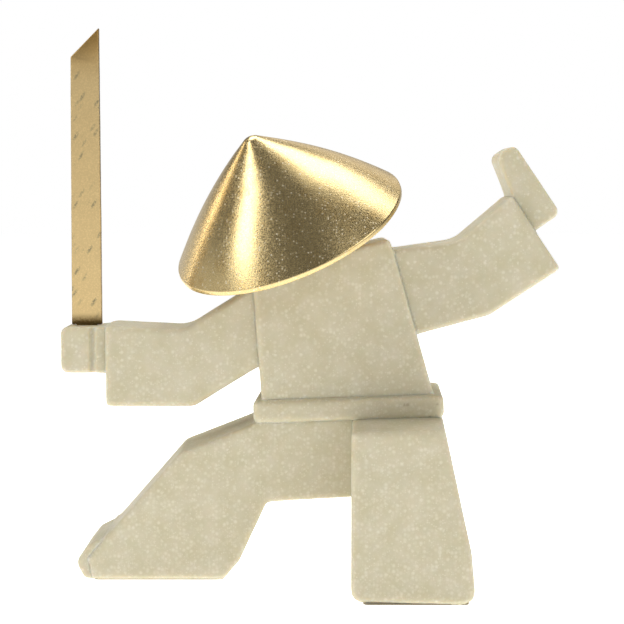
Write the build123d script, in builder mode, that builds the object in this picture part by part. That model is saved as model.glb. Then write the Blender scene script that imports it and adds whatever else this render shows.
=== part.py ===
from build123d import *

import os
from math import cos, radians, sin, tan

os.makedirs("parts", exist_ok=True)

# A blocky swordsman figurine, cast in stone-filled resin as separate blocks that are
# pinned and glued together, with a gilded cone hat and a gilded strip sword that lifts
# out of the fist.
# Millimetres. +X is the viewer's right, -Y is the front, +Z is up. The blocks are set
# out from the middle of the waist, and the finished figure is set down at the end with
# its box centred on the origin and its pads on Z = 0.

# ---- clearances and softened edges ----
glue_gap = 0.1  # round a pin or a hand's stub in its bore
end_gap = 0.5  # past the end of a pin, stub or tang
slip_gap = 0.08  # each side of the sword's tang in the fist
block_round = 2.0  # large cast blocks
hem_round = 4.4  # along the sides of the standing leg's sole
hand_round = 1.4  # small cast blocks
pin_chamfer = 0.4
blade_round = 0.5

# ---- pads and waist ----
pad_thickness = 0.6
pad_inset = 0.4  # from the edges of the flat sole
waist_height = 67.0  # underside of the sash, in the middle of the figure
sash_roll = 2.0  # degrees, the viewer's right end is higher
sash_length = 77.9
sash_depth = 46.8
sash_height = 8.9
sash_corner = 3.0
sash_set_over = 1.7  # to the viewer's right
sash_turn = 2.5  # degrees, its right end turns to the front

# ---- torso ----
torso_depth = 40.0
torso_foot = 70.7  # width where it stands on the sash
torso_set_over = 0.8  # foot's middle, to the right of the figure's middle
torso_left_side = 51.6  # length of the left side
torso_left_angle = 94.1  # direction of that side, in degrees from +X
shoulder_width = 57.8
shoulder_slope = 15.0
shoulder_round = 2.0

# ---- sleeves ----
sleeve_depth = 32.0
elbow_round = 6.0
bend_round = 14.0  # in the hollow of the arm, above the elbow
sword_armpit = 13.5  # up the torso's left side
sword_root = 33.3  # height of the sleeve's root on the torso
sword_upper = 31.5  # length of the upper arm's underside
sword_upper_slope = 32.0  # degrees, the upper arm falls away from the torso
sword_fore = 36.7  # length of the forearm's underside
sword_cuff = 33.7
sword_hollow = 1.6  # the bend lies this much below the cuff's upper corner
open_armpit = 25.1  # up the torso's right side
open_root = 36.3
open_upper = 31.0
open_upper_slope = 14.8
open_fore = 34.7
open_fore_slope = 33.6
open_cuff = 36.2
open_cuff_angle = 124.1  # direction of the cuff's edge, upwards
open_top = 28.2  # length of the forearm's upper face
open_top_slope = 40.5

# ---- hands ----
stub_diameter = 10.0  # round stub of a hand, glued in its cuff
stub_length = 12.0
fist_length = 19.0
fist_height = 19.4
fist_drop = 0.9  # below the cuff's upper corner
fist_depth = 22.0
fist_round = 3.0
finger_length = 13.2  # from the knuckles to the groove before the thumb
groove_width = 2.2
groove_depth = 1.6
palm_depth = 24.0
palm_length = 34.6
palm_heel_thickness = 12.9
palm_tip_thickness = 9.3
palm_up_cuff = 18.4  # from the cuff's low corner to the heel of the hand
palm_round = 3.2

# ---- sword ----
blade_width = 12.7  # at the fist
blade_tip_width = 11.9
blade_thickness = 3.0
blade_length = 123.0  # from the fist to the point
blade_slant = 12.0  # the point stands this much above the end's low corner
blade_from_knuckles = 9.7  # to the blade's middle at the fist
blade_rest_gap = 0.1  # between the blade's shoulders and the fist
tang_width = 8.4
tang_length = 12.0

# ---- head and hat ----
head_width = 28.0
head_corner = 3.0
neck_left = 7.9  # down the shoulder slope from its middle
neck_front = 2.4
hat_roll = 22.5  # degrees, the hat leans to the viewer's left
hat_pitch = 23.6  # degrees, and forwards
brim_above_neck = 14.4
seat_above_brim = 19.0
hat_radius = 49.3
hat_slope = 41.7  # degrees, of the straight line from lip to tip
hat_bulge = 2.0  # the side stands proud of that line
hat_wall = 3.0
hat_tip_round = 5.8

# ---- legs ----
leg_seam = 0.9  # the seam between the legs, at the front of the standing leg
lunge_depth = 41.0
thigh_inset = 0.95  # the thigh starts this far inside the sash's left end
thigh_length = 35.0
thigh_slope = 21.5
knee_round = 6.0
shin_length = 57.5
shin_slope = 49.0
hem_lean = 1.8  # the hem's low corner stands this far in
lunge_sole = 54.4
hem_back_run = 6.4
calf_angle = 65.2
calf_round = 4.0
crotch_height = 32.4  # at the inside of the leg
crotch_slope = 3.6  # degrees, rising from there to the seam
foot_depth = 39.0
foot_up_shin = 11.5
instep_rise = 5.5  # above the hem's corner
instep_run = 0.6
toe_reach = 5.2  # past the hem's corner
toe_height = 7.0  # above the sole
toe_under = 3.8
toe_round = 4.0
toe_under_round = 2.2
hem_back_rise = 7.4
standing_width = 36.7
standing_top_front = 53.0  # ahead of the figure's middle
standing_sole_front = 56.0
standing_sole_back = 8.0
standing_back = 20.5
standing_back_height = 40.0
knee_pit_back = 3.0
knee_pit_height = 33.0
standing_turn = 3.0  # degrees, the toes turn to the viewer's left
standing_flare = 12.3  # degrees, of the outer side
hem_height = 20.0  # below this the outer side stands steeper
hem_flare = 5.0

# ---- pins ----
shoulder_pin = (5.0, 30.0)  # diameter and length
neck_pin = (5.0, 24.0)
hat_pin = (5.0, 18.0)
hip_pin = (6.0, 33.0)
tie_pin = (6.0, 26.0)
hip_spread = 17.5  # each hip pin from the figure's middle
tie_drop = 20.0  # below the waist


def heading(angle):
    """Unit vector in the X-Z plane, at an angle in degrees from +X towards +Z."""
    return Vector(cos(radians(angle)), 0, sin(radians(angle)))


def joint(origin, outward):
    """Joint plane through a point, with its normal pointing out of the inner block."""
    return Plane(origin=origin, x_dir=(0, 1, 0), z_dir=outward)


def flat(*corners):
    """Corners in the X-Z plane, as points of a sketch on Plane.XZ."""
    return [(corner.X, corner.Z) for corner in corners]


def at_corners(sketch, *corners):
    """Vertices of a sketch on Plane.XZ that stand at the given corners."""
    points = [Vector(x, z) for x, z in flat(*corners)]
    return sketch.vertices().filter_by(
        lambda vertex: min((Vector(*vertex) - point).length for point in points) < 0.01
    )


def rim(part, depth, *joints):
    """Outline edges of a block's front and back faces that lie in no joint plane."""
    edges = part.edges().filter_by(lambda edge: abs(abs(edge.center().Y) - depth / 2) < 0.01)
    for plane in joints:
        edges = edges.filter_by(lambda edge: abs(plane.to_local_coords(edge.center()).Z) > 0.05)
    return edges


# ---- joint planes and corners that several blocks share ----
sash_under = Plane((0, 0, waist_height), heading(sash_roll), heading(90 + sash_roll))
sash_top = sash_under.offset(sash_height)

foot_left = sash_top.from_local_coords(Vector(torso_set_over - torso_foot / 2, 0, 0))
foot_right = sash_top.from_local_coords(Vector(torso_set_over + torso_foot / 2, 0, 0))
left_run = heading(torso_left_angle)
shoulder_left = foot_left + left_run * torso_left_side
shoulder_right = shoulder_left + heading(shoulder_slope) * shoulder_width
right_run = (shoulder_right - foot_right).normalized()

sword_low = foot_left + left_run * sword_armpit
sword_high = sword_low + left_run * sword_root
sword_joint = joint((sword_low + sword_high) * 0.5, heading(torso_left_angle + 90))

open_low = foot_right + right_run * open_armpit
open_high = open_low + right_run * open_root
open_joint = joint((open_low + open_high) * 0.5, Vector(right_run.Z, 0, -right_run.X))

shoulder_middle = (shoulder_left + shoulder_right) * 0.5
neck = shoulder_middle - heading(shoulder_slope) * neck_left - Vector(0, neck_front, 0)
neck_joint = joint(neck, heading(90 + shoulder_slope))

hat_up = Vector(-tan(radians(hat_roll)), -tan(radians(hat_pitch)), 1).normalized()
brim = Plane(neck + hat_up * brim_above_neck, Vector(hat_up.Z, 0, -hat_up.X), hat_up)
seat = brim.offset(seat_above_brim)

seam_out = Vector(cos(radians(standing_turn)), -sin(radians(standing_turn)), 0)
seam_x = leg_seam + standing_top_front * tan(radians(standing_turn))
leg_joint = Plane((seam_x, 0, 0), (-seam_out.Y, seam_out.X, 0), seam_out)
tie_joint = Plane((seam_x, 0, waist_height - tie_drop), leg_joint.x_dir, seam_out)
hip_places = (Pos(-hip_spread, 0), Pos(hip_spread, 0))
hip_reach = (hip_pin[1] - sash_height) / 2 + end_gap

# ---- torso ----
with BuildPart() as torso:
    with BuildSketch(Plane.XZ) as front_view:
        with BuildLine():
            Polyline(flat(foot_left, foot_right, shoulder_right, shoulder_left), close=True)
        make_face()
        fillet(at_corners(front_view, shoulder_left, shoulder_right), shoulder_round)
    extrude(amount=torso_depth / 2, both=True)
    fillet(rim(torso, torso_depth, sash_top), block_round)
    with Locations(sword_joint.location, open_joint.location):
        Hole(shoulder_pin[0] / 2 + glue_gap, shoulder_pin[1] / 2 + end_gap)
    with Locations(neck_joint.location):
        Hole(neck_pin[0] / 2 + glue_gap, neck_pin[1] / 2 + end_gap)
    with Locations(*[(-sash_top).location * place for place in hip_places]):
        Hole(hip_pin[0] / 2 + glue_gap, hip_reach)

# ---- sash: the waist block, with both hip pins through it ----
with BuildPart() as waist_sash:
    with BuildSketch(sash_under):
        with Locations((sash_set_over, 0)):
            RectangleRounded(sash_length, sash_depth, sash_corner, rotation=-sash_turn)
    extrude(amount=sash_height)
    fillet(waist_sash.faces().filter_by(sash_under).edges(), block_round)
    with Locations(*[sash_top.location * place for place in hip_places]):
        Hole(hip_pin[0] / 2 + glue_gap)

# ---- sleeve of the sword arm: the upper arm falls away, the forearm lies level ----
sword_elbow = sword_low - heading(sword_upper_slope) * sword_upper
sword_cuff_low = sword_elbow - Vector(sword_fore, 0, 0)
sword_cuff_high = sword_cuff_low + Vector(0, 0, sword_cuff)
sword_bend = sword_high - heading(sword_upper_slope) * (
    (sword_high.Z - sword_cuff_high.Z + sword_hollow) / sin(radians(sword_upper_slope))
)
fist_middle = sword_cuff_high - Vector(0, 0, fist_drop + fist_height / 2)
fist_joint = joint(fist_middle, Vector(-1, 0, 0))

with BuildPart() as sword_sleeve:
    with BuildSketch(Plane.XZ) as front_view:
        with BuildLine():
            Polyline(
                flat(sword_low, sword_elbow, sword_cuff_low, sword_cuff_high, sword_bend, sword_high),
                close=True,
            )
        make_face()
        fillet(at_corners(front_view, sword_elbow), elbow_round)
        fillet(at_corners(front_view, sword_bend), bend_round)
        fillet(at_corners(front_view, sword_cuff_low, sword_cuff_high), hand_round)
    extrude(amount=sleeve_depth / 2, both=True)
    fillet(rim(sword_sleeve, sleeve_depth, sword_joint), block_round)
    with Locations((-sword_joint).location):
        Hole(shoulder_pin[0] / 2 + glue_gap, shoulder_pin[1] / 2 + end_gap)
    with Locations(fist_joint.location):
        Hole(stub_diameter / 2 + glue_gap, stub_length + end_gap)

# ---- fist, with a groove before the thumb and a slot for the sword ----
fist_top = sword_cuff_high.Z - fist_drop
knuckles = sword_cuff_high.X - fist_length
grip = Plane(origin=(knuckles + blade_from_knuckles, 0, fist_top))

with BuildPart() as sword_hand:
    with BuildSketch(fist_joint):
        Rectangle(fist_depth, fist_height)
    extrude(amount=fist_length)
    fillet(sword_hand.edges().filter_by(Axis.Y).group_by(Axis.X)[0], fist_round)
    fillet(sword_hand.edges().group_by(Axis.X)[0], hand_round)
    with BuildSketch(Plane.XY.offset(fist_top)):
        with Locations((knuckles + finger_length, -fist_depth / 2)):
            Ellipse(groove_width / 2, groove_depth)
    extrude(amount=-fist_height, mode=Mode.SUBTRACT)
    with BuildSketch(grip):
        Rectangle(tang_width + 2 * slip_gap, blade_thickness + 2 * slip_gap)
    extrude(amount=-(tang_length + end_gap), mode=Mode.SUBTRACT)
    with BuildSketch(fist_joint):
        Circle(stub_diameter / 2)
    extrude(amount=-stub_length)

# ---- sword: one strip with shoulders, a tang and a slanted end ----
with BuildPart() as sword_blade:
    with BuildSketch(Plane.XZ):
        with BuildLine():
            left = grip.origin.X - blade_width / 2
            right = grip.origin.X + blade_width / 2
            rest = fist_top + blade_rest_gap
            Polyline(
                (left, rest),
                (right, rest),
                (right, rest + blade_length),
                (right - blade_tip_width, rest + blade_length - blade_slant),
                close=True,
            )
        make_face()
    extrude(amount=blade_thickness / 2, both=True)
    fillet(rim(sword_blade, blade_thickness), blade_round)
    with BuildSketch(Plane.XY.offset(rest)):
        with Locations((grip.origin.X, 0)):
            Rectangle(tang_width, blade_thickness)
    extrude(amount=-tang_length - blade_rest_gap)

# ---- sleeve of the open arm: it rises twice on its way out ----
open_elbow = open_low + heading(open_upper_slope) * open_upper
open_cuff_low = open_elbow + heading(open_fore_slope) * open_fore
open_cuff_high = open_cuff_low + heading(open_cuff_angle) * open_cuff
open_bend = open_cuff_high - heading(open_top_slope) * open_top
palm_heel = open_cuff_low + heading(open_cuff_angle) * palm_up_cuff
wrist_up_cuff = (palm_up_cuff + open_cuff) / 2
wrist_middle = open_cuff_low + heading(open_cuff_angle) * wrist_up_cuff
wrist_joint = joint(wrist_middle, heading(open_cuff_angle - 90))

with BuildPart() as open_sleeve:
    with BuildSketch(Plane.XZ) as front_view:
        with BuildLine():
            Polyline(
                flat(open_low, open_elbow, open_cuff_low, open_cuff_high, open_bend, open_high),
                close=True,
            )
        make_face()
        fillet(at_corners(front_view, open_elbow), elbow_round)
        fillet(at_corners(front_view, open_bend), bend_round)
        fillet(at_corners(front_view, open_cuff_low, open_cuff_high), hand_round)
    extrude(amount=sleeve_depth / 2, both=True)
    fillet(rim(open_sleeve, sleeve_depth, open_joint), block_round)
    with Locations((-open_joint).location):
        Hole(shoulder_pin[0] / 2 + glue_gap, shoulder_pin[1] / 2 + end_gap)
    with Locations(wrist_joint.location):
        Hole(stub_diameter / 2 + glue_gap, stub_length + end_gap)

# ---- open hand: a thick palm held square to the forearm, flat on the cuff ----
palm_out = wrist_joint.z_dir
palm_up = heading(open_cuff_angle)
heel_far = palm_heel + palm_out * palm_heel_thickness
tip_far = heel_far + palm_up * palm_length
tip_near = tip_far - palm_out * palm_tip_thickness

with BuildPart() as open_hand:
    with BuildSketch(Plane.XZ) as front_view:
        with BuildLine():
            Polyline(flat(palm_heel, heel_far, tip_far, tip_near, open_cuff_high), close=True)
        make_face()
        fillet(at_corners(front_view, heel_far, tip_far, tip_near), palm_round)
    extrude(amount=palm_depth / 2, both=True)
    fillet(rim(open_hand, palm_depth, wrist_joint), hand_round)
    with BuildSketch(wrist_joint):
        Circle(stub_diameter / 2)
    extrude(amount=-stub_length)

# ---- head: a plain block under the hat, its foot cut to the shoulders' slope ----
with BuildPart() as head:
    with BuildSketch(seat):
        RectangleRounded(head_width, head_width, head_corner)
    extrude(amount=-(seat_above_brim + brim_above_neck + head_width))
    split(bisect_by=neck_joint, keep=Keep.TOP)
    with Locations(seat.location):
        Hole(hat_pin[0] / 2 + glue_gap, hat_pin[1] / 2 + end_gap)
    with Locations((-neck_joint).location):
        Hole(neck_pin[0] / 2 + glue_gap, neck_pin[1] / 2 + end_gap)

# ---- hat: a cone with a round lip, hollow up to the seat on the head ----
lip = hat_wall / 2
lip_x = hat_radius - lip
side_out = Vector(sin(radians(hat_slope)), cos(radians(hat_slope)))
side_down = Vector(cos(radians(hat_slope)), -sin(radians(hat_slope)))
lip_middle = Vector(lip_x, lip)
lip_outer = lip_middle + side_out * lip
lip_inner = lip_middle - side_out * lip
sharp_tip = lip_outer.Y + lip_outer.X * tan(radians(hat_slope))
tip_middle = Vector(0, sharp_tip - hat_tip_round / cos(radians(hat_slope)))
tip_edge = tip_middle + side_out * hat_tip_round
side_bulge = (tip_edge + lip_outer) * 0.5 + side_out * hat_bulge
seat_edge = Vector(
    lip_inner.X - (seat_above_brim - lip_inner.Y) / tan(radians(hat_slope)), seat_above_brim
)
inner_share = (seat_edge - lip_inner).length / (tip_edge - lip_outer).length
inner_bulge = (seat_edge + lip_inner) * 0.5 + side_out * hat_bulge * inner_share**2

with BuildPart() as hat:
    with BuildSketch(Plane(brim.origin, brim.x_dir, -brim.y_dir)):
        with BuildLine():
            TangentArc((0, tip_middle.Y + hat_tip_round), tip_edge, tangent=(1, 0))
            ThreePointArc(tip_edge, side_bulge, lip_outer)
            ThreePointArc(lip_outer, lip_middle + side_down * lip, lip_inner)
            ThreePointArc(lip_inner, inner_bulge, seat_edge)
            Line(seat_edge, (0, seat_above_brim))
            Line((0, seat_above_brim), (0, tip_middle.Y + hat_tip_round))
        make_face()
    revolve(axis=Axis(brim.origin, brim.z_dir))
    with Locations((-seat).location):
        Hole(hat_pin[0] / 2 + glue_gap, hat_pin[1] / 2 + end_gap)

# ---- lunging leg: the hips' half, the thigh, and a wide trouser leg to the floor ----
sash_left = sash_set_over - sash_length / 2
thigh_start = sash_under.from_local_coords(Vector(sash_left + thigh_inset, 0, 0))
knee = thigh_start - heading(thigh_slope) * thigh_length
hem_front = knee - heading(shin_slope) * shin_length
sole_front = Vector(hem_front.X + hem_lean, 0, pad_thickness)
sole_back = sole_front + Vector(lunge_sole, 0, 0)
hem_back = sole_back + Vector(hem_back_run, 0, hem_back_rise)
crotch = hem_back + heading(calf_angle) * ((crotch_height - hem_back.Z) / sin(radians(calf_angle)))
hip_past = seam_x + lunge_depth / 2
hip_top = sash_under.from_local_coords(Vector(hip_past, 0, 0))
hip_low = crotch + heading(crotch_slope) * ((hip_past - crotch.X) / cos(radians(crotch_slope)))

with BuildPart() as lunge_leg:
    with BuildSketch(Plane.XZ) as front_view:
        with BuildLine():
            Polyline(
                flat(thigh_start, knee, hem_front, sole_front, sole_back, hem_back, crotch),
                flat(hip_low, hip_top),
                close=True,
            )
        make_face()
        fillet(at_corners(front_view, knee), knee_round)
        fillet(at_corners(front_view, hem_back), calf_round)
        fillet(at_corners(front_view, crotch), block_round)
    extrude(amount=lunge_depth / 2, both=True)
    split(bisect_by=leg_joint, keep=Keep.BOTTOM)
    fillet(rim(lunge_leg, lunge_depth, sash_under, leg_joint), block_round)
    with Locations(sash_under.location * hip_places[0]):
        Hole(hip_pin[0] / 2 + glue_gap, hip_reach)
    with Locations(tie_joint.location):
        Hole(tie_pin[0] / 2 + glue_gap, tie_pin[1] / 2 + end_gap)

# ---- foot of the lunging leg: a wedge glued to the front of the hem ----
instep_start = hem_front + heading(shin_slope) * foot_up_shin
instep = hem_front + Vector(instep_run, 0, instep_rise)
toe_top = Vector(hem_front.X - toe_reach, 0, pad_thickness + toe_height)
toe_low = Vector(toe_top.X + toe_under, 0, pad_thickness)

shin_joint = joint(hem_front, heading(shin_slope + 90))
hem_joint = joint(hem_front, (hem_front - sole_front).cross(Vector(0, 1, 0)))

with BuildPart() as lunge_foot:
    with BuildSketch(Plane.XZ) as front_view:
        with BuildLine():
            Polyline(
                flat(instep_start, instep, toe_top, toe_low, sole_front, hem_front), close=True
            )
        make_face()
        fillet(at_corners(front_view, instep, toe_top), toe_round)
        fillet(at_corners(front_view, toe_low), toe_under_round)
    extrude(amount=foot_depth / 2, both=True)
    fillet(rim(lunge_foot, foot_depth, shin_joint, hem_joint), hand_round)

# ---- standing leg: the knee comes forward, and a wide trouser leg stands below it ----
hem_width = standing_width + (waist_height - hem_height) * tan(radians(standing_flare))
outer_side = Plane(
    origin=leg_joint.from_local_coords(Vector(-standing_top_front, hem_height, hem_width)),
    x_dir=leg_joint.x_dir,
    z_dir=seam_out + Vector(0, 0, tan(radians(standing_flare))),
)
hem_side = Plane(outer_side.origin, leg_joint.x_dir, seam_out + Vector(0, 0, tan(radians(hem_flare))))

with BuildPart() as standing_leg:
    with BuildSketch(leg_joint):
        with BuildLine():
            Polyline(
                (standing_back, waist_height + sash_height),
                (-standing_top_front, waist_height + sash_height),
                (-standing_sole_front, pad_thickness),
                (-standing_sole_back, pad_thickness),
                (knee_pit_back, knee_pit_height),
                (standing_back, standing_back_height),
                close=True,
            )
        make_face()
    extrude(amount=standing_width + waist_height)
    split(bisect_by=sash_under, keep=Keep.BOTTOM)
    split(bisect_by=outer_side, keep=Keep.BOTTOM)
    split(bisect_by=hem_side, keep=Keep.BOTTOM)
    soles = standing_leg.edges().filter_by(Axis((0, 0, 0), leg_joint.x_dir)).group_by(Axis.Z)[0]
    fillet(soles, hem_round)
    fillet(standing_leg.edges().filter_by(GeomType.LINE), block_round)
    with Locations(sash_under.location * hip_places[1]):
        Hole(hip_pin[0] / 2 + glue_gap, hip_reach)
    with Locations((-tie_joint).location):
        Hole(tie_pin[0] / 2 + glue_gap, tie_pin[1] / 2 + end_gap)

# ---- felt pads under both soles ----
with BuildPart() as lunge_pad:
    with BuildSketch():
        with Locations(((sole_front.X + sole_back.X) / 2, 0)):
            RectangleRounded(
                lunge_sole - 2 * pad_inset,
                lunge_depth - 2 * (block_round + pad_inset),
                block_round,
            )
    extrude(amount=pad_thickness)

standing_sole = hem_width + (hem_height - pad_thickness) * tan(radians(hem_flare))
with BuildPart() as standing_pad:
    with BuildSketch(Plane((seam_x, 0, 0), seam_out, (0, 0, 1))):
        with Locations((standing_sole / 2, -(standing_sole_front + standing_sole_back) / 2)):
            RectangleRounded(
                standing_sole - 2 * (hem_round + pad_inset),
                standing_sole_front - standing_sole_back - 2 * (block_round + pad_inset),
                block_round,
            )
    extrude(amount=pad_thickness)

pieces = {
    "torso": torso,
    "waist_sash": waist_sash,
    "sword_sleeve": sword_sleeve,
    "sword_hand": sword_hand,
    "sword_blade": sword_blade,
    "open_sleeve": open_sleeve,
    "open_hand": open_hand,
    "head": head,
    "hat": hat,
    "lunge_leg": lunge_leg,
    "lunge_foot": lunge_foot,
    "standing_leg": standing_leg,
    "lunge_pad": lunge_pad,
    "standing_pad": standing_pad,
}

# ---- steel pins, each centred on the joint that it crosses ----
sash_middle = sash_under.offset(sash_height / 2)
pins = {
    "sword_shoulder_pin": (sword_joint, shoulder_pin),
    "open_shoulder_pin": (open_joint, shoulder_pin),
    "neck_pin": (neck_joint, neck_pin),
    "hat_pin": (seat, hat_pin),
    "lunge_hip_pin": (Plane(sash_middle.location * hip_places[0]), hip_pin),
    "standing_hip_pin": (Plane(sash_middle.location * hip_places[1]), hip_pin),
    "leg_tie_pin": (tie_joint, tie_pin),
}
for name, (plane, (diameter, length)) in pins.items():
    with BuildPart(plane) as pin:
        Cylinder(diameter / 2, length)
        chamfer(pin.edges().filter_by(GeomType.CIRCLE), pin_chamfer)
    pieces[name] = pin

# ---- the finished figure is set down on the origin, and each piece is written ----
extent = Compound([piece.part for piece in pieces.values()]).bounding_box()
home = Pos(-extent.center().X, -extent.center().Y, -extent.min.Z)
for name, piece in pieces.items():
    piece.part.move(home)
    piece.part.label = name
    export_step(piece.part, f"parts/{name}.step")
size = extent.size
print(f"{len(pieces)} pieces in a box of {size.X:.1f} x {size.Y:.1f} x {size.Z:.1f} mm")
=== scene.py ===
# %% [markdown]
# # A resin swordsman under a gilded hat
# The figure is cast in blocks of polyester resin filled with marble powder. The blocks are pinned and
# glued together, the cone hat is gilded with leaf, and the gilded strip sword lifts out of the fist.
# The mechanical model holds every size and place. It is loaded first and never moved, and each piece
# that is made here is made around it.

# %% Load the fixed frame
import random
from math import cos, pi, radians, sin, tan

import bmesh
import bpy
from mathutils import Matrix, Vector, noise
from mathutils.bvhtree import BVHTree


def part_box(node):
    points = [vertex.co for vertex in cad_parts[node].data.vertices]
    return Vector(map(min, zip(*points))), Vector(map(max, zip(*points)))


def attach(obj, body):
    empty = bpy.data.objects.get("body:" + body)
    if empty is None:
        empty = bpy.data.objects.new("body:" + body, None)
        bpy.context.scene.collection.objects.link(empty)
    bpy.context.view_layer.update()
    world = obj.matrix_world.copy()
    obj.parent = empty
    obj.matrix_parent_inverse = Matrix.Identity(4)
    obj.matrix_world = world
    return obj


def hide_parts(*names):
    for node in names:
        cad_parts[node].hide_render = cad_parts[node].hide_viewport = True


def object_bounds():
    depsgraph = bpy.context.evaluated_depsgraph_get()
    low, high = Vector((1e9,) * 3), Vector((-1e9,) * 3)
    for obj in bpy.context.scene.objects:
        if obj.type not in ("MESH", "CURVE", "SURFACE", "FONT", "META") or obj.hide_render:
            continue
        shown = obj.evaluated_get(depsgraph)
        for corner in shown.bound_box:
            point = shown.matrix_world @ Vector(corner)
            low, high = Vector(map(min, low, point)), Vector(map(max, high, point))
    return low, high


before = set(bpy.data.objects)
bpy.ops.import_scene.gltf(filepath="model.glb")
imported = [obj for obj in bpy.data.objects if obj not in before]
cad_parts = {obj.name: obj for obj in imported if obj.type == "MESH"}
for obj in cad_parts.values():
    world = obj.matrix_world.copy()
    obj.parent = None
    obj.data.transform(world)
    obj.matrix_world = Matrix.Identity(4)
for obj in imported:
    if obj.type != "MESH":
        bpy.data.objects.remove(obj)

MM = 0.001
cad_low, cad_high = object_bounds()
print("box of the mechanical model, mm:", [round(side / MM, 1) for side in cad_high - cad_low])

# %% [markdown]
# ## Helpers for materials
# Colours are picked as hex values, as a painter would read them from a chart. A renderer works in
# linear light, so one function turns the first into the second. A second function adds one shader
# node with its settings and links, which keeps each material short enough to read as a recipe.

# %% Colours and shader nodes
def colour(code):
    """Linear colour with alpha from an sRGB hex code such as 'E8DFC8'."""
    parts = [int(code[place:place + 2], 16) / 255 for place in (0, 2, 4)]
    return [part / 12.92 if part <= 0.04045 else ((part + 0.055) / 1.055) ** 2.4 for part in parts] + [1]


def add(tree, kind, settings, inputs):
    """One new shader node. Settings are its properties; inputs are values or sockets to link."""
    made = tree.nodes.new("ShaderNode" + kind)
    for name, value in settings.items():
        setattr(made, name, value)
    for name, value in inputs.items():
        if isinstance(value, bpy.types.NodeSocket):
            tree.links.new(value, made.inputs[name])
        else:
            made.inputs[name].default_value = value
    return made


def new_material(name):
    """An empty material, its node tree and a socket with the object's own coordinates in metres."""
    material = bpy.data.materials.new(name)
    material.use_nodes = True
    material.node_tree.nodes.clear()
    place = add(material.node_tree, "TexCoord", {}, {}).outputs["Object"]
    return material, material.node_tree, place


def surface(tree, inputs):
    """The Principled shader with these inputs, joined to the material's output."""
    shader = add(tree, "BsdfPrincipled", {}, inputs)
    add(tree, "OutputMaterial", {}, {"Surface": shader.outputs["BSDF"]})


# %% [markdown]
# ## The cast resin
# Real pieces of this kind are marble powder in clear polyester, poured in a silicone mould and
# tumbled to a satin face. Light enters the resin, is scattered by the powder and leaves again nearby,
# so the edges glow and the shadows stay soft. That is subsurface scattering, which reaches about three
# millimetres in red and about half of that in blue. Coarse white grains of marble sink while the resin
# sets. They lie densest at the floor and thin out up to half the height.

# %% Resin: the colour of the body
GRAIN = 0.85 * MM  # spacing of the marble grains
GRAIN_DEEP = 1.5 * MM  # spacing of those that show dimly from below the surface
GRAIN_CONTRAST = 0.31  # share of the grains' own white that shows
MOTTLE = 9 * MM  # width of the cloudy patches
TUMBLE_MARK = 0.9 * MM  # width of the marks that tumbling leaves
SCATTER = 3.2 * MM  # how far red light travels in the resin

resin, tree, place = new_material("marble_filled_resin_tumbled")
cloud = add(tree, "TexNoise", {}, {"Vector": place, "Scale": 1 / MOTTLE, "Detail": 4.0, "Roughness": 0.6})
cloudy = add(
    tree, "MapRange", {}, {"Value": cloud.outputs["Fac"], "From Min": 0.35, "From Max": 0.65}
)
body = add(
    tree,
    "Mix",
    {"data_type": "RGBA"},
    {0: cloudy.outputs[0], 6: colour("C6BE9F"), 7: colour("CFC7AE")},
)

# %% Resin: the grains, more of them near the floor
split_place = add(tree, "SeparateXYZ", {}, {"Vector": place})
height_share = add(
    tree,
    "MapRange",
    {},
    {
        "Value": split_place.outputs["Z"],
        "From Min": 0.0,
        "From Max": cad_high.z * 0.5,
        "To Min": 0.30,
        "To Max": 0.66,
    },
)


def grains(spacing, reach):
    """Socket that is 1 in the middle of each marble grain and 0 between the grains."""
    cells = add(tree, "TexVoronoi", {}, {"Vector": place, "Scale": 1 / spacing})
    spot = add(
        tree,
        "MapRange",
        {"interpolation_type": "SMOOTHSTEP"},
        {"Value": cells.outputs["Distance"], "From Min": reach, "From Max": 0.08, "To Min": 0.0},
    )
    chance = add(tree, "SeparateColor", {}, {"Color": cells.outputs["Color"]})
    there = add(
        tree,
        "MapRange",
        {},
        {
            "Value": chance.outputs["Red"],
            "From Min": height_share.outputs[0],
            "From Max": 1.0,
            "To Min": 0.0,
        },
    )
    shown = add(tree, "Math", {"operation": "MULTIPLY"}, {0: spot.outputs[0], 1: there.outputs[0]})
    return shown.outputs[0]


near = grains(GRAIN, 0.62)
deep = grains(GRAIN_DEEP, 0.80)
grainy = add(tree, "Math", {"operation": "MAXIMUM"}, {0: near, 1: deep})
softened = add(tree, "Math", {"operation": "MULTIPLY"}, {0: grainy.outputs[0], 1: GRAIN_CONTRAST})
speckled = add(
    tree,
    "Mix",
    {"data_type": "RGBA"},
    {0: softened.outputs[0], 6: body.outputs[2], 7: colour("FBF8EF")},
)

# %% Resin: painted highlight on proud edges, painted shade in the pits, and the finished shader
edge_highlight_and_patina = add(tree, "Attribute", {"attribute_name": "edge_highlight_and_patina"}, {})
# Proud edges are painted paler here: a painted highlight for the light that edges catch.
painted_edge_highlight = add(
    tree,
    "Mix",
    {"data_type": "RGBA"},
    {0: edge_highlight_and_patina.outputs["Fac"], 6: speckled.outputs[2], 7: colour("EAE4D3")},
)
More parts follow.
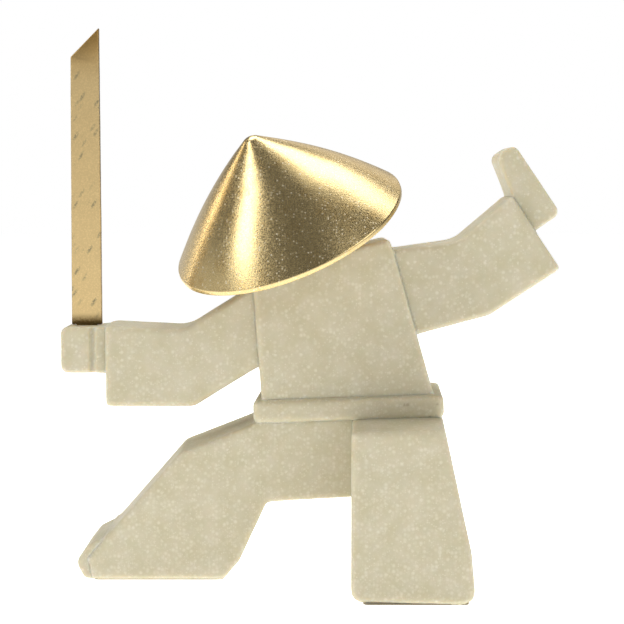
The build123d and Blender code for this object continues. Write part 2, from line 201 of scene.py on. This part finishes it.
# The pits are painted darker: painted shade in hollows too small for the mesh to show.
pitted = add(tree, "Attribute", {"attribute_name": "pit"}, {})
painted_pit_shade = add(
    tree,
    "Mix",
    {"data_type": "RGBA"},
    {0: pitted.outputs["Fac"], 6: painted_edge_highlight.outputs[2], 7: colour("968866")},
)
tumbled = add(tree, "TexNoise", {}, {"Vector": place, "Scale": 1 / TUMBLE_MARK, "Detail": 3.0})
relief = add(
    tree, "Bump", {}, {"Height": tumbled.outputs["Fac"], "Strength": 0.35, "Distance": 0.12 * MM}
)
satin = add(
    tree,
    "MapRange",
    {},
    {"Value": tumbled.outputs["Fac"], "To Min": 0.42, "To Max": 0.60},
)
surface(
    tree,
    {
        "Base Color": painted_pit_shade.outputs[2],
        "Roughness": satin.outputs[0],
        "IOR": 1.54,  # polyester resin
        "Subsurface Weight": 0.8,
        "Subsurface Radius": (1.0, 0.72, 0.45),
        "Subsurface Scale": SCATTER,
        "Normal": relief.outputs["Normal"],
    },
)
print("resin grains every", GRAIN / MM, "mm")

# %% [markdown]
# ## The gilding
# The hat carries thin leaf over a sealed, slightly grainy cast surface, rubbed down to an antique
# sheen. Leaf is metal, so it has no colour of its own apart from what it reflects. The grain under it
# breaks up the edges of every reflection, and that is what tells leaf from polished brass. Small
# bright specks of loose leaf catch light from all sides, and rubbed spots are a little warmer.

# %% Gold leaf of the hat
LEAF_GRAIN = 0.55 * MM  # width of the grain under the leaf
SPECK = 1.1 * MM  # spacing of the bright specks
SPECK_ROUGH = 0.35  # added to the roughness on a speck
RUB = 9 * MM  # width of the rubbed spots
leaf, tree, place = new_material("gold_leaf_rubbed_antique")
rub = add(tree, "TexNoise", {}, {"Vector": place, "Scale": 1 / RUB, "Detail": 6.0, "Roughness": 0.7})
grain = add(
    tree, "TexNoise", {}, {"Vector": place, "Scale": 1 / LEAF_GRAIN, "Detail": 2.0, "Roughness": 0.6}
)
rubbed = add(
    tree,
    "MapRange",
    {"interpolation_type": "SMOOTHSTEP"},
    {"Value": rub.outputs["Fac"], "From Min": 0.50, "From Max": 0.72, "To Max": 0.5},
)
cells = add(tree, "TexVoronoi", {}, {"Vector": place, "Scale": 1 / SPECK})
speck = add(
    tree,
    "MapRange",
    {"interpolation_type": "SMOOTHSTEP"},
    {"Value": cells.outputs["Distance"], "From Min": 0.42, "From Max": 0.12, "To Min": 0.0},
)
chance = add(tree, "SeparateColor", {}, {"Color": cells.outputs["Color"]})
some = add(
    tree,
    "MapRange",
    {},
    {"Value": chance.outputs["Red"], "From Min": 0.55, "From Max": 1.0, "To Min": 0.0, "To Max": 0.8},
)
specks = add(tree, "Math", {"operation": "MULTIPLY"}, {0: speck.outputs[0], 1: some.outputs[0]})
tone = add(
    tree,
    "Mix",
    {"data_type": "RGBA"},
    {0: rubbed.outputs[0], 6: colour("E4CB93"), 7: colour("CCA865")},
)
toned = add(
    tree,
    "Mix",
    {"data_type": "RGBA"},
    {0: specks.outputs[0], 6: tone.outputs[2], 7: colour("FFF8E4")},
)
sheen = add(
    tree,
    "MapRange",
    {},
    {"Value": grain.outputs["Fac"], "From Min": 0.3, "From Max": 0.7, "To Min": 0.17, "To Max": 0.34},
)
rough = add(
    tree, "Math", {"operation": "MULTIPLY_ADD"}, {0: specks.outputs[0], 1: SPECK_ROUGH, 2: sheen.outputs[0]}
)
relief = add(
    tree, "Bump", {}, {"Height": grain.outputs["Fac"], "Strength": 1.0, "Distance": 0.045 * MM}
)
surface(
    tree,
    {
        "Base Color": toned.outputs[2],
        "Metallic": 1.0,
        "Roughness": rough.outputs[0],
        "Normal": relief.outputs["Normal"],
    },
)

# %% [markdown]
# The sword is a flat steel strip under the same leaf, but rubbed flat and handled. Short slanting
# scuffs cross it, the tip has gone warm, and dark patina gathers where the strip enters the fist and,
# more broken up, along its narrow sides. The scuffs are stretched cells: a pattern that is squeezed
# along one slanting direction turns round cells into strokes.

# %% Gilded strip of the sword
SCUFF_LENGTH = 7 * MM
SCUFF_WIDTH = 0.3  # as a share of its length
SCUFF_SLANT = 32  # degrees from upright
FRAY = 0.7 * MM  # width of the ragged breaks in a scuff
blade_low, blade_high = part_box("sword_blade")
fist_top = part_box("sword_hand")[1].z
gilt, tree, place = new_material("gilded_steel_strip_handled")
slanted = add(
    tree,
    "Mapping",
    {"vector_type": "TEXTURE"},
    {
        "Vector": place,
        "Rotation": (0, radians(SCUFF_SLANT), 0),
        "Scale": (SCUFF_LENGTH * SCUFF_WIDTH, SCUFF_LENGTH, SCUFF_LENGTH),
    },
)
strokes = add(tree, "TexVoronoi", {}, {"Vector": slanted.outputs[0], "Scale": 1.0})
stroke = add(
    tree,
    "MapRange",
    {"interpolation_type": "SMOOTHSTEP"},
    {"Value": strokes.outputs["Distance"], "From Min": 0.44, "From Max": 0.10, "To Min": 0.0},
)
chance = add(tree, "SeparateColor", {}, {"Color": strokes.outputs["Color"]})
some = add(
    tree,
    "MapRange",
    {},
    {"Value": chance.outputs["Red"], "From Min": 0.50, "From Max": 0.80, "To Min": 0.0},
)
frayed = add(
    tree, "TexNoise", {}, {"Vector": place, "Scale": 1 / FRAY, "Detail": 3.0, "Roughness": 0.7}
)
fray = add(
    tree,
    "MapRange",
    {},
    {"Value": frayed.outputs["Fac"], "From Min": 0.36, "From Max": 0.52, "To Min": 0.0},
)
scuffed = add(tree, "Math", {"operation": "MULTIPLY"}, {0: stroke.outputs[0], 1: some.outputs[0]})
scuff = add(tree, "Math", {"operation": "MULTIPLY"}, {0: scuffed.outputs[0], 1: fray.outputs[0]})
scuff_tone = add(
    tree,
    "Mix",
    {"data_type": "RGBA"},
    {0: scuff.outputs[0], 6: colour("DDC28D"), 7: colour("A39877")},
)
print("sword stands", round((blade_high.z - fist_top) / MM, 1), "mm out of the fist")

# %% Gilded strip: the warm tip, and the patina by the fist
WARM_LENGTH = 24 * MM  # from the tip down
PATINA_TOP = 7.0 * MM  # above the fist
PATINA_FULL = 2.5 * MM  # above the fist, where it is darkest
PATINA_WAVER = 3.5 * MM
split_place = add(tree, "SeparateXYZ", {}, {"Vector": place})
tip_share = add(
    tree,
    "MapRange",
    {"interpolation_type": "SMOOTHSTEP"},
    {
        "Value": split_place.outputs["Z"],
        "From Min": blade_high.z - WARM_LENGTH,
        "From Max": blade_high.z,
        "To Max": 0.85,
    },
)
warm = add(
    tree,
    "Mix",
    {"data_type": "RGBA"},
    {0: tip_share.outputs[0], 6: scuff_tone.outputs[2], 7: colour("B98F48")},
)
wavy = add(
    tree,
    "Math",
    {"operation": "MULTIPLY_ADD"},
    {0: frayed.outputs["Fac"], 1: PATINA_WAVER, 2: split_place.outputs["Z"]},
)
patina = add(
    tree,
    "MapRange",
    {"interpolation_type": "SMOOTHSTEP"},
    {
        "Value": wavy.outputs[0],
        "From Min": fist_top + PATINA_TOP,
        "From Max": fist_top + PATINA_FULL,
        "To Min": 0.0,
        "To Max": 0.95,
    },
)
dark = add(
    tree,
    "Mix",
    {"data_type": "RGBA"},
    {0: patina.outputs[0], 6: warm.outputs[2], 7: colour("4E3D1E")},
)
# On the sword this attribute holds only the patina share of the narrow sides.
side = add(tree, "Attribute", {"attribute_name": "edge_highlight_and_patina"}, {})
edge_share = add(
    tree, "Math", {"operation": "MULTIPLY"}, {0: side.outputs["Fac"], 1: fray.outputs[0]}
)
edged = add(
    tree,
    "Mix",
    {"data_type": "RGBA"},
    {0: edge_share.outputs[0], 6: dark.outputs[2], 7: colour("5E4B2A")},
)
brushed = add(
    tree, "Bump", {}, {"Height": frayed.outputs["Fac"], "Strength": 0.4, "Distance": 0.03 * MM}
)
dull = add(
    tree, "MapRange", {}, {"Value": scuff.outputs[0], "To Min": 0.38, "To Max": 0.62}
)
surface(
    tree,
    {
        "Base Color": edged.outputs[2],
        "Metallic": 1.0,
        "Roughness": dull.outputs[0],
        "Normal": brushed.outputs["Normal"],
    },
)

# %% [markdown]
# ## Felt and pins
# Felt is pressed wool: no weave, only fibres in every direction, so fine noise in the colour and a
# soft sheen are enough. The pins are drawn steel with a slightly uneven sheen. They stay inside the
# joints, but a cut through the figure would show them.

# %% Wool felt and drawn steel
FIBRE = 0.5 * MM  # width of a tuft of fibres
DRAW_MARK = 0.3 * MM  # width of the marks on drawn steel
felt, tree, place = new_material("pressed_wool_felt")
fibres = add(
    tree, "TexNoise", {}, {"Vector": place, "Scale": 1 / FIBRE, "Detail": 5.0, "Roughness": 0.8}
)
woolly = add(
    tree,
    "Mix",
    {"data_type": "RGBA"},
    {0: fibres.outputs["Fac"], 6: colour("7D745F"), 7: colour("ABA189")},
)
relief = add(tree, "Bump", {}, {"Height": fibres.outputs["Fac"], "Strength": 0.9, "Distance": 0.2 * MM})
surface(
    tree,
    {
        "Base Color": woolly.outputs[2],
        "Roughness": 0.95,
        "Sheen Weight": 0.35,
        "Normal": relief.outputs["Normal"],
    },
)

steel, tree, place = new_material("drawn_steel_pin")
lines = add(tree, "TexNoise", {}, {"Vector": place, "Scale": 1 / DRAW_MARK, "Detail": 2.0})
satin = add(tree, "MapRange", {}, {"Value": lines.outputs["Fac"], "To Min": 0.28, "To Max": 0.42})
surface(
    tree, {"Base Color": colour("C4C3BF"), "Metallic": 1.0, "Roughness": satin.outputs[0]}
)
for name, cad_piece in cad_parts.items():
    if name.endswith("_pin"):
        cad_piece.data.materials.clear()
        cad_piece.data.materials.append(steel)
print(len(bpy.data.materials), "materials")

# %% [markdown]
# ## Finishing a piece
# Every new piece ends the same way: its bmesh becomes an object at the origin with smooth shading,
# takes a material, rides on a body, and stands for the mechanical piece of the same name. Nothing
# made by hand is perfectly flat. A second helper lets a slow noise sink the surface a little. It only
# ever moves points into the material, so it makes no piece bigger.

# %% Helpers for pieces
def piece_from(shape, name, material, body):
    """The bmesh as a finished piece that replaces the mechanical node of the same name."""
    mesh = bpy.data.meshes.new(name + "_mesh")
    shape.to_mesh(mesh)
    shape.free()
    mesh.shade_smooth()
    mesh.materials.append(material)
    made = bpy.data.objects.new(name + "_finished", mesh)
    bpy.context.scene.collection.objects.link(made)
    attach(made, body)
    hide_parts(name)
    return made


def sink(shape, depth, width):
    """Sinks the surface by up to the depth, in soft hollows of about the given width."""
    shape.normal_update()
    free = shape.verts.layers.float.get("free")
    normals = [vert.normal.copy() for vert in shape.verts]
    for vert, normal in zip(shape.verts, normals):
        share = vert[free] if free else 1
        vert.co -= normal * depth * share * (0.5 + 0.5 * noise.noise(vert.co / width))


# %% [markdown]
# ## The cast blocks
# A casting starts from a master pattern. Here the pattern is the mechanical block. A merged copy gets
# a fine even skin with the Remesh modifier, like a mould taken from it, and a few passes of smoothing
# round its sharp corners, as tumbling does. Building each block again from corners would be as much
# work and would only copy sizes that the frame already has. Edges that stand proud are painted paler,
# a painted highlight for the light that edges catch, so each point remembers how far it stands above
# its neighbours.

# %% Find where a block is glued to its neighbours
GLUED_FROM = 0.9 * MM  # points this near another block stay where they are
FREE_FROM = 5 * MM  # points this far away are shaped freely
NOT_GLUED = ("sword_blade",)
FACES_BLOCK = -0.4  # cosine between two facing surfaces, at most this on a glued joint
JOINT_SHARE = 0.6  # of the mesh spacing, by which a joint is closed


def glued_to(name):
    """Search trees of the mechanical blocks that touch this one, without pins and loose pieces."""
    low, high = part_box(name)
    trees = []
    for other, cad_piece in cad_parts.items():
        if other == name or other.endswith("_pin") or other in NOT_GLUED:
            continue
        other_low, other_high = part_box(other)
        if all(other_low[a] < high[a] + MM and low[a] < other_high[a] + MM for a in range(3)):
            mesh = cad_piece.data
            corners = [vert.co for vert in mesh.vertices]
            trees.append(BVHTree.FromPolygons(corners, [face.vertices[:] for face in mesh.polygons]))
    return trees


def measure_glue(shape, name, skin):
    """Marks each point's freedom, from 0 on a glued joint to 1, and closes the joints."""
    shape.normal_update()
    free = shape.verts.layers.float.new("free")
    trees = glued_to(name)
    for vert in shape.verts:
        hits = [search.find_nearest(vert.co, FREE_FROM) for search in trees]
        hits = [hit for hit in hits if hit[0] is not None]
        _, facing, _, distance = min(hits, key=lambda hit: hit[3], default=(None, None, None, FREE_FROM))
        vert[free] = max(distance - GLUED_FROM, 0) / (FREE_FROM - GLUED_FROM)
        if distance < GLUED_FROM and vert.normal.dot(facing) < FACES_BLOCK:
            vert.co -= facing * skin * JOINT_SHARE


# %% Cast one block from its pattern
# The pale edges are a painted highlight, set by how proud an edge stands.
EDGE_GAIN = 4  # how fast an edge turns pale as it stands proud
EDGE_START = 0.15  # what is taken off, so that flat faces stay clean
EDGE_PALEST = 0.75


def cast(name, skin, passes=5, pits=()):
    """A tumbled casting of a mechanical block. Skin is the mesh spacing; pits are places on it."""
    shape = bmesh.new()
    shape.from_mesh(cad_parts[name].data)
    bmesh.ops.remove_doubles(shape, verts=shape.verts, dist=0.001 * MM)
    pattern = bpy.data.meshes.new(name + "_pattern")
    shape.to_mesh(pattern)
    shape.free()
    mould = bpy.data.objects.new(name + "_mould", pattern)
    bpy.context.scene.collection.objects.link(mould)
    remesh = mould.modifiers.new("skin", "REMESH")
    remesh.mode = "VOXEL"
    remesh.voxel_size = skin
    cooked = mould.evaluated_get(bpy.context.evaluated_depsgraph_get())
    shape = bmesh.new()
    shape.from_mesh(cooked.to_mesh())
    bpy.data.objects.remove(mould)
    measure_glue(shape, name, skin)
    free = shape.verts.layers.float["free"]
    loose = [vert for vert in shape.verts if vert[free] > 0]
    for _ in range(passes):
        bmesh.ops.smooth_vert(
            shape, verts=loose, factor=0.5, use_axis_x=True, use_axis_y=True, use_axis_z=True
        )
    sink(shape, 0.20 * MM, 16 * MM)
    sink(shape, 0.06 * MM, 4 * MM)
    mark_edges(shape, skin)
    press_pits(shape, pits)
    return piece_from(shape, name, resin, "figure")


def mark_edges(shape, skin):
    """Writes how far each point stands above the middle of its neighbours, for the painted edge highlight.
    """
    shape.normal_update()
    edge_highlight_and_patina = shape.verts.layers.float.new("edge_highlight_and_patina")
    for vert in shape.verts:
        around = [edge.other_vert(vert).co for edge in vert.link_edges]
        middle = sum(around, Vector()) / len(around)
        proud = (vert.co - middle).dot(vert.normal) / skin
        vert[edge_highlight_and_patina] = min(max(proud * EDGE_GAIN - EDGE_START, 0), EDGE_PALEST)


def press_pits(shape, pits, width=0.6 * MM, depth=0.4 * MM):
    """Presses a small round pit at each place, and marks it in the attribute 'pit' for painted shade."""
    pit = shape.verts.layers.float.new("pit")
    for where in pits:
        for vert in shape.verts:
            share = 1 - (vert.co - where).length / width
            if share > 0:
                vert.co -= vert.normal * depth * share
                vert[pit] = max(vert[pit], share ** 0.5)


# %% Cast the large blocks, and the sash with its pits
SKIN = 0.8 * MM
SASH_SKIN = 0.55 * MM
PIT_COUNT = 9
PIT_SPAN = (0.45, 0.97)  # shares of the sash's length, from the viewer's left
PIT_ROWS = (0.12, 0.16, 0.62)  # shares of its height
PIT_DEPTH = 0.4 * MM  # from the front of its box to the middle of a pit
SASH_RISE = 0.24  # the rows climb by this share of the sash's height, from end to end
for name in ("torso", "sword_sleeve", "open_sleeve", "lunge_leg", "standing_leg", "head"):
    block = cast(name, SKIN)
    print(name, len(block.data.polygons), "faces")

random.seed(5)
sash_low, sash_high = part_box("waist_sash")
pits = []
for _ in range(PIT_COUNT):
    along = random.uniform(*PIT_SPAN)
    up = random.choice(PIT_ROWS)
    rise = (along - 0.5) * (sash_high.z - sash_low.z) * SASH_RISE
    pits.append(
        Vector(
            (
                sash_low.x + along * (sash_high.x - sash_low.x),
                sash_low.y + PIT_DEPTH,
                sash_low.z + up * (sash_high.z - sash_low.z) + rise,
            )
        )
    )
sash = cast("waist_sash", SASH_SKIN, pits=pits)
print("sash", len(sash.data.polygons), "faces")

# %% Cast the small blocks with a finer skin
FINE_SKIN = 0.5 * MM
for name in ("sword_hand", "open_hand", "lunge_foot"):
    block = cast(name, FINE_SKIN, passes=6)
    print(name, len(block.data.polygons), "faces")

# %% [markdown]
# ## The cone hat
# A straw hat of this shape is a cone with a slight belly. This one is cast, so it has a real wall, a
# rounded lip and a flat seat for the head inside. One half outline, spun once about the hat's own axis,
# gives the whole shell with even rings of faces, and even rings keep reflections calm. A boolean of
# two cones would leave long thin triangles, which show as streaks in gold.

# %% Measure the hat in its own upright frame
HAT_ROLL, HAT_PITCH = 22.5, 23.6  # degrees: it leans to the viewer's left and forwards
HAT_WALL = 3.0 * MM
HAT_BELLY = 2.0 * MM  # the side stands this proud of a straight line
INNER_BELLY = 0.6 * MM  # the same for the inside
HAT_SLOPE = 41.7  # degrees, of that line
TIP_ROUND = 5.8 * MM
LIP_ROUND = 0.6 * MM  # at the foot of the lip
SEAT_HEIGHT = 19.0 * MM  # of the flat seat for the head, above the brim
steep = radians(HAT_SLOPE)
hat_axis = Vector((-tan(radians(HAT_ROLL)), -tan(radians(HAT_PITCH)), 1)).normalized()
lean = hat_axis.to_track_quat("Z", "Y").to_matrix()
untilted = [lean.transposed() @ vert.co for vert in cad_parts["hat"].data.vertices]
hat_low = Vector([min(co[axis] for co in untilted) for axis in range(3)])
hat_high = Vector([max(co[axis] for co in untilted) for axis in range(3)])
hat_radius = (hat_high.x - hat_low.x) / 2
hat_foot = Vector(((hat_low.x + hat_high.x) / 2, (hat_low.y + hat_high.y) / 2, hat_low.z))
print("hat radius", round(hat_radius / MM, 2), "mm, height", round((hat_high.z - hat_low.z) / MM, 2), "mm")

# %% Draw the half outline and spin it
def arc(middle, radius, first, last, steps):
    """Points on an arc in the X-Z plane, by angles in degrees from +X."""
    turns = [radians(first + (last - first) * step / steps) for step in range(steps + 1)]
    return [Vector((middle.x + radius * cos(turn), 0, middle.z + radius * sin(turn))) for turn in turns]


def belly(start, end, swell, steps):
    """Points between two others, swelling out of their straight line."""
    shares = [step / steps for step in range(1, steps)]
    return [start.lerp(end, share) + side_out * swell * 4 * share * (1 - share) for share in shares]


side_out = Vector((sin(steep), 0, cos(steep)))
half = HAT_WALL / 2
lip_middle = Vector((hat_radius - half, 0, half))
facing_up = 90 - HAT_SLOPE
lip_ring = arc(lip_middle, half, facing_up, 0, 5)
foot_out = Vector((hat_radius - LIP_ROUND, 0, LIP_ROUND))
foot_in = Vector((lip_middle.x - half + LIP_ROUND, 0, LIP_ROUND))
lip_ring += arc(foot_out, LIP_ROUND, 0, -90, 4)
lip_ring += arc(foot_in, LIP_ROUND, -90, facing_up - 180, 4)
tip_middle = Vector((0, 0, hat_high.z - hat_low.z - TIP_ROUND))
tip_cap = arc(tip_middle, TIP_ROUND, 90, facing_up, 7)
seat_edge = Vector((lip_ring[-1].x - (SEAT_HEIGHT - lip_ring[-1].z) / tan(steep), 0, SEAT_HEIGHT))
outline = tip_cap + belly(tip_cap[-1], lip_ring[0], HAT_BELLY, 22) + lip_ring
outline += belly(seat_edge, lip_ring[-1], INNER_BELLY, 12)[::-1] + [seat_edge]
outline += [Vector((seat_edge.x * share, 0, SEAT_HEIGHT)) for share in (0.66, 0.33, 0)]

shape = bmesh.new()
corners = [shape.verts.new(point) for point in outline]
for first, second in zip(corners, corners[1:]):
    shape.edges.new((first, second))
bmesh.ops.spin(
    shape,
    geom=shape.verts[:] + shape.edges[:],
    cent=(0, 0, 0),
    axis=(0, 0, 1),
    angle=2 * pi,
    steps=144,
    use_merge=True,
)
bmesh.ops.remove_doubles(shape, verts=shape.verts, dist=0.01 * MM)
bmesh.ops.recalc_face_normals(shape, faces=shape.faces)
bmesh.ops.translate(shape, verts=shape.verts, vec=hat_foot)
bmesh.ops.transform(shape, verts=shape.verts, matrix=lean.to_4x4())
sink(shape, 0.35 * MM, 22 * MM)
sink(shape, 0.08 * MM, 5 * MM)
hat = piece_from(shape, "hat", leaf, "figure")
smooth = hat.modifiers.new("even_leaf", "SUBSURF")
smooth.levels = smooth.render_levels = 1
print("hat outline", len(outline), "points,", len(hat.data.polygons), "faces")

# %% [markdown]
# ## The strip sword
# The blade is one flat strip with a slanting end, shoulders that rest on the fist, and a narrower
# tang below them. Four corners and one extrusion make the strip, and a plain bar makes the tang. The
# strip is cut across every few millimetres, so that its edges can waver by about a tenth of a
# millimetre, as sheared and filed steel does.

# %% Shear the strip, file its edges, add the tang
TANG_WIDTH = 8.4 * MM
TIP_WIDTH = 11.9 * MM
TIP_SLANT = 12.0 * MM
SHOULDER_GAP = 0.1 * MM  # between the strip's shoulders and the fist
EDGE_ROUND = 0.45 * MM
CUT_EVERY = 3 * MM
shoulder = fist_top + SHOULDER_GAP
strip = [
    Vector((blade_low.x, blade_low.y, shoulder)),
    Vector((blade_high.x, blade_low.y, shoulder)),
    Vector((blade_high.x, blade_low.y, blade_high.z)),
    Vector((blade_high.x - TIP_WIDTH, blade_low.y, blade_high.z - TIP_SLANT)),
]
thickness = Vector((0, blade_high.y - blade_low.y, 0))

shape = bmesh.new()
front = shape.faces.new([shape.verts.new(corner) for corner in strip])
grown = bmesh.ops.extrude_face_region(shape, geom=[front], use_keep_orig=True)
back_verts = [item for item in grown["geom"] if isinstance(item, bmesh.types.BMVert)]
bmesh.ops.translate(shape, verts=back_verts, vec=thickness)
bmesh.ops.recalc_face_normals(shape, faces=shape.faces)
bmesh.ops.bevel(
    shape, geom=shape.edges[:], offset=EDGE_ROUND, offset_type="OFFSET", segments=3,
    profile=0.5, affect="EDGES", material=-1, clamp_overlap=True,
)
cut = shoulder + CUT_EVERY
while cut < blade_high.z - TIP_SLANT:
    bmesh.ops.bisect_plane(
        shape, geom=shape.verts[:] + shape.edges[:] + shape.faces[:],
        plane_co=(0, 0, cut), plane_no=(0, 0, 1),
    )
    cut += CUT_EVERY
sink(shape, 0.14 * MM, 7 * MM)
print("strip", len(shape.faces), "faces")

# %% Mark the filed edges and close the sword
SIDE_INSET = 0.25 * MM  # nearer the flats than this, a point doesn't count as a narrow side
SIDE_PATINA, FLAT_PATINA = 0.9, 0.15
TANG_ROOT = 0.4 * MM  # how far the tang reaches up into the strip
edge_highlight_and_patina = shape.verts.layers.float.new("edge_highlight_and_patina")
middle_y = (blade_low.y + blade_high.y) / 2
side_y = thickness.y / 2 - SIDE_INSET
for vert in shape.verts:
    vert[edge_highlight_and_patina] = SIDE_PATINA if abs(vert.co.y - middle_y) < side_y else FLAT_PATINA
tang_low = blade_low.z
tang = bmesh.ops.create_cube(shape, size=1)["verts"]
grip_x = (strip[0].x + strip[1].x) / 2
tang_size = Vector((TANG_WIDTH, thickness.y, shoulder - tang_low + TANG_ROOT))
bmesh.ops.scale(shape, verts=tang, vec=tang_size)
bmesh.ops.translate(shape, verts=tang, vec=(grip_x, middle_y, tang_low + tang_size.z / 2))
sword = piece_from(shape, "sword_blade", gilt, "sword")
print("sword", len(sword.data.polygons), "faces")

# %% [markdown]
# ## The felt pads
# Each pad is stamped from sheet felt and glued under a sole, so it has square edges and rounded
# corners. It starts as a cube of the right size. Beveling only the four upright edges rounds the
# corners and leaves the flat faces alone.

# %% Stamp a pad for each sole
PAD_CORNER = 2 * MM
for name in ("lunge_pad", "standing_pad"):
    pad_low, pad_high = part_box(name)
    shape = bmesh.new()
    bmesh.ops.create_cube(shape, size=1)
    bmesh.ops.scale(shape, verts=shape.verts, vec=pad_high - pad_low)
    bmesh.ops.translate(shape, verts=shape.verts, vec=(pad_low + pad_high) / 2)
    half_up = (pad_high.z - pad_low.z) / 2
    upright_edges = [e for e in shape.edges if abs(e.verts[0].co.z - e.verts[1].co.z) > half_up]
    bmesh.ops.bevel(
        shape, geom=upright_edges, offset=PAD_CORNER, offset_type="OFFSET", segments=4,
        profile=0.5, affect="EDGES", material=-1, clamp_overlap=True,
    )
    pad = piece_from(shape, name, felt, "figure")
    pad.data.shade_flat()
    print(name, "stamped,", [round(side / MM, 1) for side in pad_high - pad_low], "mm")

# %% [markdown]
# ## The studio
# Gold shows its surroundings, so the lights are placed for the hat first. A tall soft box to the left
# gives the bright streak down the hat's front left. One overhead on the right brightens its right
# side, with a weaker one beside it that softens the border, and a wide one behind warms the far edge.
# A narrow one behind left draws the thin line near the left edge. The front of the hat looks up into
# the darker part of the room. The resin takes its light from a fill on the right, a weak one in
# front, the pale floor, and a top box that hangs where the front of the hat doesn't mirror it.

# %% Floor and room
floor_shape = bmesh.new()
bmesh.ops.create_grid(floor_shape, x_segments=1, y_segments=1, size=6)
floor_mesh = bpy.data.meshes.new("studio_floor")
floor_shape.to_mesh(floor_mesh)
floor_shape.free()
floor = bpy.data.objects.new("studio_floor", floor_mesh)
bpy.context.scene.collection.objects.link(floor)
paper, tree, place = new_material("matt_white_paper")
paper_grain = add(tree, "TexNoise", {}, {"Vector": place, "Scale": 40.0, "Detail": 2.0})
paper_tone = add(
    tree,
    "Mix",
    {"data_type": "RGBA"},
    {0: paper_grain.outputs["Fac"], 6: colour("F4F4F2"), 7: colour("F7F7F5")},
)
surface(
    tree,
    {
        "Base Color": paper_tone.outputs[2],
        "Roughness": 0.9,
        "Emission Color": colour("FFFFFF"),
        "Emission Strength": 0.85,
    },
)
floor_mesh.materials.append(paper)

world = bpy.data.worlds.new("studio_room")
bpy.context.scene.world = world
world.use_nodes = True
world.node_tree.nodes.clear()
room = world.node_tree
direction = add(room, "TexCoord", {}, {}).outputs["Generated"]
direction_up = add(room, "SeparateXYZ", {}, {"Vector": direction}).outputs["Z"]
glow = add(
    room,
    "MapRange",
    {"interpolation_type": "SMOOTHSTEP"},
    {"Value": direction_up, "From Min": 0.10, "From Max": 0.36, "To Min": 0.6, "To Max": 0.13},
)
seen = add(room, "LightPath", {}, {}).outputs["Is Camera Ray"]
white = add(room, "Math", {"operation": "MAXIMUM"}, {0: glow.outputs[0], 1: seen})
sky = add(room, "Background", {}, {"Color": colour("FFFFFF"), "Strength": white.outputs[0]})
add(room, "OutputWorld", {}, {"Surface": sky.outputs[0]})

# %% Soft boxes
hat_middle = (Vector(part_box("hat")[0]) + Vector(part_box("hat")[1])) / 2


def soft_box(name, towards, distance, width, height, radiance, tint="FFFFFF"):
    """An area light at a distance from the hat, facing it, with its brightness as a radiance."""
    lamp = bpy.data.lights.new(name, "AREA")
    lamp.shape = "RECTANGLE"
    lamp.size, lamp.size_y = width, height
    lamp.energy = radiance * pi * width * height
    lamp.color = colour(tint)[:3]
    made = bpy.data.objects.new(name, lamp)
    way = Vector(towards).normalized()
    made.matrix_world = Matrix.LocRotScale(hat_middle + way * distance, way.to_track_quat("Z", "Y"), None)
    bpy.context.scene.collection.objects.link(made)
    return made


soft_box("left_box", (-0.75, -0.37, 0.56), 0.95, 0.26, 0.62, 4.4)
soft_box("overhead_box", (0.34, 0.25, 0.91), 0.85, 0.48, 0.52, 3.1)
soft_box("overhead_edge", (0.24, -0.16, 0.96), 0.90, 0.34, 0.20, 0.9)
soft_box("back_box", (0.23, 0.84, 0.50), 1.0, 0.90, 0.36, 0.7, "FFF6E6")
soft_box("top_box", (-0.25, 0.24, 0.94), 0.85, 0.50, 0.45, 4.0)
soft_box("rim_box", (-0.82, 0.48, 0.32), 0.95, 0.09, 0.66, 4.4, "FFF0D8")
soft_box("right_fill", (0.64, -0.58, 0.54), 1.6, 1.1, 0.7, 2.1)
soft_box("front_fill", (-0.1, -1.0, -0.05), 1.6, 1.6, 0.55, 0.22)
print("lights placed round", [round(part / MM) for part in hat_middle])

# %% [markdown]
# ## The camera
# It stands about 60 cm in front and a little above the sword hand, and looks slightly down. A long
# lens from that distance keeps the blocks square, with just enough perspective to show the tops of
# the sash and the sleeves.

# %% Camera and colour view
camera_data = bpy.data.cameras.new("studio_camera")
camera_data.lens = 82.85  # millimetres, for a sensor 36 mm wide
camera_data.sensor_width = 36
camera_data.clip_start = 0.02
LOOKS_DOWN = 4.5  # degrees
camera = bpy.data.objects.new("studio_camera", camera_data)
camera.location = (0.0014, -0.5908, 0.1568)
camera.rotation_euler = (radians(90 - LOOKS_DOWN), 0, 0)
bpy.context.scene.collection.objects.link(camera)
bpy.context.scene.camera = camera
bpy.context.scene.view_settings.view_transform = "Standard"
